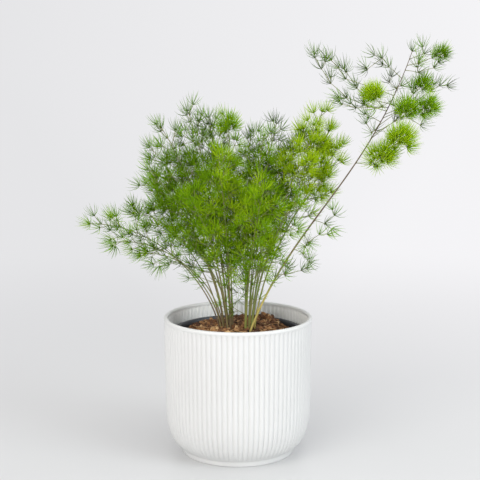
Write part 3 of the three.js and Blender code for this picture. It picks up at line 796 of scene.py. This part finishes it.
def spot_tone(draw, x, y):
    """Tone of a bit of litter: reddish brown on the whole, with lighter tan fibre at the front left."""
    tan = math.exp(-((x - TAN_PLACE[0]) ** 2 + (y - TAN_PLACE[1]) ** 2) / TAN_WIDTH ** 2)
    tone = LITTER_TONE + LITTER_TONE_SPREAD * draw.standard_normal() + TAN_TONE * tan
    return float(np.clip(tone, 0, 1))


def random_spot(draw):
    """A place on the soil, drawn evenly over its round."""
    radius = LITTER_RADIUS * math.sqrt(draw.random())
    turn = TAU * draw.random()
    x, y = radius * math.cos(turn), radius * math.sin(turn)
    return x, y, float(soil_height(x, y)) + soil_relief(x, y)


def turn_about(points, draw, most_tilt=math.pi):
    """Points turned by a random heading and tilt."""
    heading, tilt = TAU * draw.random(), most_tilt * (2 * draw.random() - 1)
    c, s = math.cos(tilt), math.sin(tilt)
    points = points @ np.array([(1, 0, 0), (0, c, s), (0, -s, c)])
    c, s = math.cos(heading), math.sin(heading)
    return points @ np.array([(c, s, 0), (-s, c, 0), (0, 0, 1)])


def round_lump():
    """Corners and faces of a lump with twenty sides, about 1 in radius."""
    g = (1 + math.sqrt(5)) / 2
    corners = [(-1, g, 0), (1, g, 0), (-1, -g, 0), (1, -g, 0), (0, -1, g), (0, 1, g),
               (0, -1, -g), (0, 1, -g), (g, 0, -1), (g, 0, 1), (-g, 0, -1), (-g, 0, 1)]
    faces = [
        (0, 11, 5), (0, 5, 1), (0, 1, 7), (0, 7, 10), (0, 10, 11), (1, 5, 9), (5, 11, 4),
        (11, 10, 2), (10, 7, 6), (7, 1, 8), (3, 9, 4), (3, 4, 2), (3, 2, 6), (3, 6, 8),
        (3, 8, 9), (4, 9, 5), (2, 4, 11), (6, 2, 10), (8, 6, 7), (9, 8, 1),
    ]
    return np.array(corners) / 1.9, faces


def add_crumbs(build, draw):
    """Crumbs of compost, each a lump pushed out of shape."""
    corners, faces = round_lump()
    least, more = CRUMB_SIZE
    for _ in range(CRUMBS):
        x, y, z = random_spot(draw)
        size = least + more * draw.random() ** 2
        lump = corners * (1 + 0.45 * (draw.random_sample((12, 1)) - 0.5)) * size
        lump = lump * (1 + 0.8 * (draw.random_sample(3) - 0.4))
        lump = turn_about(lump, draw) + (x, y, z + CRUMB_LIFT * size)
        build.add(lump, faces, tone=spot_tone(draw, x, y))


def add_fibres(build, draw):
    """Coir fibres that lie along the soil and lift off it here and there."""
    steps = len(FIBRE_TAPER) - 1
    for _ in range(FIBRES):
        x, y, z = random_spot(draw)
        length = FIBRE_LENGTH[0] + FIBRE_LENGTH[1] * draw.random() ** 1.5
        heading = TAU * draw.random()
        rise = FIBRE_RISE * (draw.random() - 0.35)
        bend = (draw.random() - 0.5) * FIBRE_BEND
        path = []
        px, py, pz = x, y, z + FIBRE_LIFT
        for _ in range(steps + 1):
            path.append((px, py, pz))
            px += length / steps * math.cos(heading)
            py += length / steps * math.sin(heading)
            ground = float(soil_height(px, py)) + FIBRE_LEAST_LIFT
            pz = max(pz + length / steps * rise, ground)
            heading += bend / steps
            rise -= FIBRE_SINK
        if math.hypot(px, py) > LITTER_RADIUS:
            continue
        radius = FIBRE_RADIUS[0] + FIBRE_RADIUS[1] * draw.random()
        points, faces = tube(path, radius * FIBRE_TAPER, 4)
        build.add(points, faces, tone=min(1, spot_tone(draw, x, y) + FIBRE_EXTRA_TONE))


def add_chips(build, draw):
    """Flat bark chips, darker than the crumbs."""
    corners = np.array([(a, b, c) for a in (-1, 1) for b in (-1, 1) for c in (-1, 1)], float)
    faces = [(0, 1, 3, 2), (4, 6, 7, 5), (0, 4, 5, 1), (2, 3, 7, 6), (0, 2, 6, 4), (1, 5, 7, 3)]
    for _ in range(CHIPS):
        x, y, z = random_spot(draw)
        size = np.array([least + more * draw.random() for least, more in CHIP_SIZE])
        box = corners * (1 + 0.5 * (draw.random_sample((8, 3)) - 0.5)) * size
        box = turn_about(box, draw, CHIP_TILT) + (x, y, z + CHIP_LIFT)
        build.add(box, faces, tone=spot_tone(draw, x, y) * CHIP_TONE_SHARE)


def build_soil_litter(material):
    """Crumbs, fibres and bark chips that lie on the soil."""
    draw = np.random.RandomState(LITTER_SEED)
    build = Build()
    add_crumbs(build, draw)
    add_fibres(build, draw)
    add_chips(build, draw)
    return build.finish("soil_litter", [material], smooth=False)


# Plant

def spread_bases():
    """Where the canes leave the soil: near their crown, in the order of their tips, kept apart."""
    bases = [np.array([crown[0] + (tip[0] - crown[0]) * BASE_SQUEEZE,
                       crown[1] + (tip[1] - crown[1]) * BASE_SQUEEZE]) for crown, tip, *_ in CANES]
    bases.append(np.array(LONG_CANE[0][:2], float))
    for _ in range(BASE_ROUNDS):
        for i in range(len(bases)):
            for j in range(i):
                between = bases[i] - bases[j]
                distance = math.hypot(*between)
                if distance < BASE_SPACING:
                    push = between * ((BASE_SPACING - distance) / distance / 2)
                    bases[i] = bases[i] + push
                    bases[j] = bases[j] - push
    return bases


class Cane:
    """A cane's curve from the soil to its tip, read by share of its length."""

    def __init__(self, points):
        self.points = [np.array(p, float) + (0, 0, SOIL_TOP) for p in points]
        self.shares = np.linspace(0, 1, 201)
        steps = np.linalg.norm(np.diff([self.bezier(t) for t in self.shares], axis=0), axis=1)
        self.lengths = np.concatenate([[0], np.cumsum(steps)])
        self.length = self.lengths[-1]

    def bezier(self, t):
        a, b, c, d = self.points
        return (1 - t) ** 3 * a + 3 * (1 - t) ** 2 * t * b + 3 * (1 - t) * t * t * c + t ** 3 * d

    def place(self, share):
        return self.bezier(np.interp(share * self.length, self.lengths, self.shares))

    def tangent(self, share):
        t = np.interp(share * self.length, self.lengths, self.shares)
        a, b, c, d = self.points
        return unit(3 * (1 - t) ** 2 * (b - a) + 6 * (1 - t) * t * (c - b) + 3 * t * t * (d - c))


def bush_cane(tip, arch, base):
    """A cane that rises from its base and leans out to its tip, fuller in its middle by its arch."""
    start = np.array([base[0], base[1], 0.0])
    end = np.array(tip, float)
    out = np.array([end[0] - start[0], end[1] - start[1], 0])
    low = start + CANE_LOW_OUT * out + UP * max(CANE_LOW_RISE * end[2], CANE_LEAST_RISE)
    high = start + (CANE_HIGH_OUT - ARCH_DRAW_IN * arch) * out + UP * (CANE_HIGH_RISE * end[2] + arch)
    return Cane([start, low, high, end])


def side_branch(cane, index, node, u, share, reach):
    """The side branch at a share of the cane, which is u of the way along the leafy part."""
    start, forward = cane.place(share), cane.tangent(share)
    first, second = side_axes(forward)
    turn = node * GOLDEN_ANGLE + TWIG_TURN_SPREAD * chance(index, node, 1)
    side = first * math.cos(turn) + second * math.sin(turn)
    lean = math.radians(TWIG_LEAN - TWIG_LEAN_LOSS * u)
    leave = forward * math.cos(lean) + side * math.sin(lean)
    bulge = 0.5 + 0.5 * math.sin(math.pi * min(1, u * TWIG_FULL_FROM))
    draw = TWIG_LEAST_LENGTH + TWIG_LENGTH_SPREAD * chance(index, node, 2)
    length = reach * bulge * (1 - TWIG_LENGTH_LOSS * u) * draw
    wander = np.array([TWIG_WANDER * (chance(index, node, k) - 0.5) for k in (3, 4, 5)])
    way = unit(leave + UP * TWIG_RISE + wander)
    middle = start + leave * length / 2
    end = middle + way * length / 2
    return Branch(start, middle, end, leave, way, length)


def side_tufts(branch, index, node, low, needles, tint, size):
    """Stalked tufts from the end of a side branch back to its foot, in ones and twos."""
    tufts = []
    start, middle, end = branch.start, branch.middle, branch.end
    back = 1
    while branch.length - back * TUFT_SPACING > TUFT_FREE_END:
        w = 1 - back * TUFT_SPACING / branch.length
        root = curve(start, middle, end, w)
        along = unit((1 - w) * (middle - start) + w * (end - middle))
        one, two = side_axes(along)
        for twin in (0, 1):
            if twin and (low or chance(index, node, 70 + back) < TWIN_MISSING):
                continue
            turn = back * GOLDEN_ANGLE + math.pi * twin + TAU * chance(index, node, 10 + back)
            side = math.cos(turn) * one + math.sin(turn) * two
            out = unit(along * SIDE_TUFT_FORWARD + side * SIDE_TUFT_OUT + UP * SIDE_TUFT_RISE)
            stalk = SIDE_STALK[0] + SIDE_STALK[1] * chance(index, node, 20 + back + 7 * twin)
            key = (index, node, back + 30 * twin)
            tufts.append(Tuft(root + out * stalk, out, root, needles, key, tint, size))
        back += 1
    return tufts


def bush_twigs(cane, index, reach, bare, tint):
    """The side branches of a bush cane, as start, middle, end, share and tint, and its tufts."""
    twigs, tufts = [], []
    full, size = DENSE_CANES.get(index + 1, (NEEDLES_PER_TUFT, 1))
    count = max(LEAST_TWIGS, round(cane.length * (1 - bare) / NODE_SPACING))
    for node in range(count):
        u = (node + 0.5) / count
        share = bare + (1 - bare) * u
        branch = side_branch(cane, index, node, u, share, reach)
        twigs.append((branch.start, branch.middle, branch.end, share, tint))
        low = u < LOW_SHARE
        needles = LOW_NEEDLES if low else full
        tufts.append(Tuft(branch.end, branch.way, None, needles, (index, node, 0), tint, size))
        if node % 2 and not low:
            key = (index, node, 60)
            tufts.append(Tuft(branch.start, branch.leave, None, SESSILE_NEEDLES, key, tint, SESSILE_SIZE))
        tufts += side_tufts(branch, index, node, low, needles, tint, size)
    tufts.append(Tuft(cane.place(1), cane.tangent(1), None, full, (index, 99, 0), tint, size))
    if index + 1 in TIP_CLUMPS:
        radius, number, share, shade = TIP_CLUMPS[index + 1]
        root = cane.place(CLUMP_ROOT_SHARE)
        tufts += clump_tufts(cane.place(share), root, radius, number, (index, 60, 0), shade)
    return twigs, tufts


def clump_tufts(hub, root, radius, count, key, tint):
    """The tufts of a round clump of young growth about a hub."""
    index, spray, clump = key
    size = CLUMP_NEEDLE_SIZE + CLUMP_NEEDLE_GROWTH * radius
    tufts = []
    for m in range(count):
        height = 1 - (m + 0.5) / count * CLUMP_COVER
        wide = math.sqrt(1 - height * height)
        turn = m * GOLDEN_ANGLE
        out = np.array([wide * math.cos(turn), wide * math.sin(turn), height])
        place = hub + out * radius * (CLUMP_LEAST_SHARE + CLUMP_SHARE_SPREAD * chance(spray, clump, m))
        way = unit(unit(place - root) + out)
        tuft_key = (index, spray, 40 + 20 * clump + m)
        tufts.append(Tuft(place, way, hub, NEEDLES_PER_CLUMP_TUFT, tuft_key, tint, size))
    return tufts


def long_twigs(cane, index):
    """The sprays of the long cane: from tuft to tuft, then from clump to clump."""
    twigs, tufts = [], []
    needles = NEEDLES_PER_SPRAY_TUFT
    for spray, (share, places, clumps, tint) in enumerate(SPRAYS):
        root = cane.place(share)
        for k, place in enumerate(places):
            end = np.array(place, float) + UP * SOIL_TOP
            way = unit(unit(end - root) + UP * SPRAY_RISE)
            twigs.append((root, (root + end) / 2 + UP * SPRAY_BOW, end, share, tint))
            tufts.append(Tuft(end, way, None, needles, (index, spray, k), tint, 1))
            first, second = side_axes(way)
            turn = TAU * chance(index, spray, k + 50)
            side = way * SPRAY_TUFT_FORWARD + math.cos(turn) * first + math.sin(turn) * second
            out = unit(side + UP * SPRAY_TUFT_RISE)
            stalk = SPRAY_STALK[0] + SPRAY_STALK[1] * chance(index, spray, k + 55)
            tufts.append(Tuft(end + out * stalk, out, end, needles, (index, spray, k + 20), tint, 1))
            root = end
        for clump, (x, y, z, radius, count) in enumerate(clumps):
            hub = np.array([x, y, z + SOIL_TOP], float)
            twigs.append((root, (root + hub) / 2, hub, share, tint))
            tufts += clump_tufts(hub, root, radius, count, (index, spray, clump), tint)
            root = hub
    tufts.append(Tuft(cane.place(1), cane.tangent(1), None, needles, (index, 99, 0), LONG_TIP_TINT, 1))
    return twigs, tufts


def needle_faces():
    """Faces of a needle: its foot, its sides and its point."""
    return [(2, 1, 0)] + grid_faces(3, 3) + [(6, 7, 9), (7, 8, 9), (8, 6, 9)]


def needle_points(place, direction, bend, length):
    """Points of a needle that sets out in a direction and bends towards another."""
    one, two = side_axes(direction)
    rim = np.outer(np.cos(NEEDLE_TURNS), one) + np.outer(np.sin(NEEDLE_TURNS), two)
    points = []
    for share, width in zip(NEEDLE_SHARES, NEEDLE_WIDTHS):
        curl = NEEDLE_BEND * share ** 2
        centre = place + length * (direction * (share - curl) + bend * curl)
        points.append(centre + rim * NEEDLE_RADIUS * width)
    points.append([place + length * (direction * (1 - NEEDLE_BEND) + bend * NEEDLE_BEND)])
    return np.concatenate(points)


def add_tuft(build, tuft):
    """A tuft: a small bud and its needles, which fan out as a cup and curve upward."""
    a, b, c = tuft.key
    count = tuft.count
    first, second = side_axes(tuft.way)
    low = math.cos(TUFT_HALF_ANGLE)
    turns = np.arange(count) * GOLDEN_ANGLE + TUFT_TURN * chance(a, b, 30 + c)
    heights = 1 - (np.arange(count) + 0.5) / count * (1 - low)
    wide = np.sqrt(1 - heights ** 2)
    out = np.outer(heights, tuft.way)
    out = out + np.outer(wide * np.cos(turns), first) + np.outer(wide * np.sin(turns), second)
    draws = np.array([chance(a * 7 + c, b, 40 + m) for m in range(count)])
    lengths = NEEDLE_LENGTH * tuft.size * (NEEDLE_LEAST_LENGTH + NEEDLE_LENGTH_SPREAD * draws)
    bend = unit(tuft.way + UP * NEEDLE_RISE)
    shade = tuft.tint + TUFT_SHADE_SPREAD * (chance(a + 3, b + 5, c + 7) - 0.5)
    shades = shade + NEEDLE_SHADE_SPREAD * (np.roll(draws, 3) - 0.5)
    faces = needle_faces()
    along = [*np.repeat(NEEDLE_SHARES, 3), 1]
    for direction, length, shade in zip(out, lengths, shades):
        points = needle_points(tuft.place, direction, bend, length)
        build.add(points, faces, NEEDLE_SLOT, tint=shade, along=along)
    bud = [tuft.place + tuft.way * forward for forward, _ in BUD]
    points, faces = tube(bud, [radius for _, radius in BUD], BUD_SIDES)
    build.add(points, faces, STEM_SLOT, tone=BUD_TONE + TINT_IN_BUDS * tuft.tint)


def add_stem(build, cane, radius, foot_tone, upper_tone):
    """The cane's stem, which thins towards its tip and goes from its foot's tone to its upper one."""
    steps = max(STEM_LEAST_STEPS, int(cane.length / STEM_STEP))
    shares = np.arange(steps + 1) / steps
    path = [cane.place(0) - UP * STEM_DEPTH] + [cane.place(share) for share in shares]
    radii = [radius, *(radius + (STEM_TIP_RADIUS - radius) * shares ** STEM_TAPER)]
    points, faces = tube(path, radii, STEM_SIDES)
    upper = np.clip((np.array([0, *shares]) - UPPER_TONE_FROM) / UPPER_TONE_OVER, 0, 1)
    tones = foot_tone + (upper_tone - foot_tone) * np.repeat(upper, STEM_SIDES)
    build.add(points, faces, STEM_SLOT, tone=tones)


def add_scale(build, cane, radius, start, middle, share):
    """The small dry scale on the stem under a side branch."""
    forward = cane.tangent(share)
    branch = unit(middle - start)
    out = unit(branch - forward * np.dot(branch, forward))
    across = np.cross(forward, out)
    here = radius + (STEM_TIP_RADIUS - radius) * share
    foot = start - forward * 0.9 + out * here * 0.7
    corners = [
        foot - across * here * 0.9,
        foot + out * here * 0.7,
        foot + across * here * 0.9,
        foot + forward * 2.4 + out * here * 1.2,
    ]
    tone = SCALE_TONE + SCALE_TONE_SPREAD * chance(int(share * 997), 1, 1)
    build.add(corners, [(0, 1, 3), (1, 2, 3), (2, 0, 3), (0, 2, 1)], STEM_SLOT, tone=tone)


def build_cane(name, cane, radius, tones, twigs, tufts, materials):
    """One cane with its scales, side branches, stalks and tufts."""
    build = Build()
    add_stem(build, cane, radius, *tones)
    for start, middle, _, share, _ in twigs:
        add_scale(build, cane, radius, start, middle, share)
    for start, middle, end, _, tint in twigs:
        path = [curve(start, middle, end, t) for t in np.linspace(0, 1, len(TWIG_RADII))]
        points, faces = tube(path, TWIG_RADII, TWIG_SIDES)
        build.add(points, faces, STEM_SLOT, tone=TWIG_TONE + TINT_IN_TWIGS * tint)
    for tuft in tufts:
        if tuft.root is not None:
            path = [tuft.root, (tuft.root + tuft.place) / 2 + UP * STALK_BOW, tuft.place]
            points, faces = tube(path, STALK_RADII, STALK_SIDES)
            build.add(points, faces, STEM_SLOT, tone=STALK_TONE + TINT_IN_TWIGS * tuft.tint)
        add_tuft(build, tuft)
    return build.finish(name + "_fine", materials, [name])


def build_plant():
    """All the canes of the bush, then the long cane."""
    materials = [stem_material(), needle_material()]
    bases = spread_bases()
    for index, (crown, tip, reach, bare, arch, tint) in enumerate(CANES):
        cane = bush_cane(tip, arch, bases[index])
        twigs, tufts = bush_twigs(cane, index, reach, bare, tint)
        extra = RIGHT_FOOT_EXTRA if crown == RIGHT else 0
        foot_tone = FOOT_TONE + FOOT_TONE_SPREAD * chance(index, 7, 7) + extra
        name = f"cane_{index + 1:02d}"
        build_cane(name, cane, STEM_RADIUS, (foot_tone, GREEN_TONE), twigs, tufts, materials)
    index = len(CANES)
    cane = Cane([(*bases[index], 0), *LONG_CANE[1:]])
    twigs, tufts = long_twigs(cane, index)
    build_cane("cane_long", cane, LONG_STEM_RADIUS, LONG_CANE_TONES, twigs, tufts, materials)


# Stage, lights and camera

def add_backdrop(nodes, links, sideways):
    """The backdrop's colour, by how far to the right a direction points."""
    across = map_range(nodes, links, sideways, (-BACKDROP_SPAN, BACKDROP_SPAN))
    colours = ramp(nodes, [(0.0, BACKDROP_LEFT), (1.0, BACKDROP_RIGHT)])
    links.new(across, colours.inputs["Fac"])
    return colours.outputs["Color"]


def floor_material():
    """A pale floor that fades into the backdrop with distance."""
    material, nodes, links, shader = new_material("floor_pale")
    shader.inputs["Base Color"].default_value = FLOOR_COLOUR
    shader.inputs["Roughness"].default_value = 0.28
    shader.inputs["Specular IOR Level"].default_value = 0.35
    place = nodes.new("ShaderNodeTexCoord")
    distance = nodes.new("ShaderNodeVectorMath")
    distance.operation = "LENGTH"
    links.new(place.outputs["Object"], distance.inputs[0])
    fade = map_range(nodes, links, distance.outputs["Value"], FLOOR_FADE, smooth=True)
    parts = nodes.new("ShaderNodeSeparateXYZ")
    links.new(place.outputs["Object"], parts.inputs[0])
    sideways = math_node(nodes, links, "DIVIDE", parts.outputs["X"], distance.outputs["Value"])
    glow = nodes.new("ShaderNodeEmission")
    links.new(add_backdrop(nodes, links, sideways), glow.inputs["Color"])
    mix = nodes.new("ShaderNodeMixShader")
    links.new(fade, mix.inputs["Fac"])
    links.new(shader.outputs["BSDF"], mix.inputs[1])
    links.new(glow.outputs["Emission"], mix.inputs[2])
    links.new(mix.outputs["Shader"], nodes["Material Output"].inputs["Surface"])
    return material


def build_floor():
    """A wide round floor, which is part of the stage and not of the object."""
    rings = [ring(radius, 0.0, FLOOR_SIDES) for radius in FLOOR_RINGS]
    mesh = bpy.data.meshes.new("floor")
    mesh.from_pydata((np.concatenate(rings) * MM).tolist(), [], grid_faces(len(rings), FLOOR_SIDES))
    mesh.materials.append(floor_material())
    floor = bpy.data.objects.new("floor", mesh)
    bpy.context.scene.collection.objects.link(floor)


def build_world():
    """A pale backdrop, brighter to the right, and a dimmer room over the camera."""
    world = bpy.data.worlds.new("studio")
    bpy.context.scene.world = world
    world.use_nodes = True
    nodes, links = world.node_tree.nodes, world.node_tree.links
    place = nodes.new("ShaderNodeTexCoord")
    parts = nodes.new("ShaderNodeSeparateXYZ")
    links.new(place.outputs["Generated"], parts.inputs[0])
    behind = map_range(nodes, links, parts.outputs["Y"], BACKDROP_BEHIND, smooth=True)
    low = map_range(nodes, links, parts.outputs["Z"], BACKDROP_LOW)
    mix = nodes.new("ShaderNodeMix")
    mix.data_type = "RGBA"
    mix.inputs[6].default_value = (*ROOM, 1)
    links.new(math_node(nodes, links, "MAXIMUM", behind, low), mix.inputs[0])
    links.new(add_backdrop(nodes, links, parts.outputs["X"]), mix.inputs[7])
    links.new(mix.outputs[2], nodes["Background"].inputs["Color"])


def build_lights():
    """Round soft lights. The front one leaves no shine, which would show as a hot spot on the floor."""
    for name, place, width, watts, colour in LIGHTS:
        light = bpy.data.lights.new(name, "AREA")
        light.shape = "DISK"
        light.size = width
        light.energy = watts
        light.color = colour
        lamp = bpy.data.objects.new(name, light)
        lamp.location = place
        lamp.visible_camera = False
        lamp.visible_glossy = name != "front"
        aim = Vector(LIGHT_AIM) - Vector(place)
        lamp.rotation_euler = aim.to_track_quat("-Z", "Y").to_euler()
        bpy.context.scene.collection.objects.link(lamp)


def build_camera():
    """The camera that took the photograph."""
    camera = bpy.data.cameras.new("camera")
    camera.lens = CAMERA_LENS
    camera.sensor_width = CAMERA_SENSOR
    camera.clip_end = CAMERA_REACH
    eye = bpy.data.objects.new("camera", camera)
    eye.location = CAMERA_PLACE
    eye.rotation_euler = (math.radians(90 - CAMERA_PITCH), 0, 0)
    bpy.context.scene.collection.objects.link(eye)
    bpy.context.scene.camera = eye


build_planter()
build_nursery_pot()
soil = build_soil()
build_soil_litter(soil.data.materials[0])
build_plant()
build_floor()
build_world()
build_lights()
build_camera()
bpy.context.scene.view_settings.view_transform = "Standard"
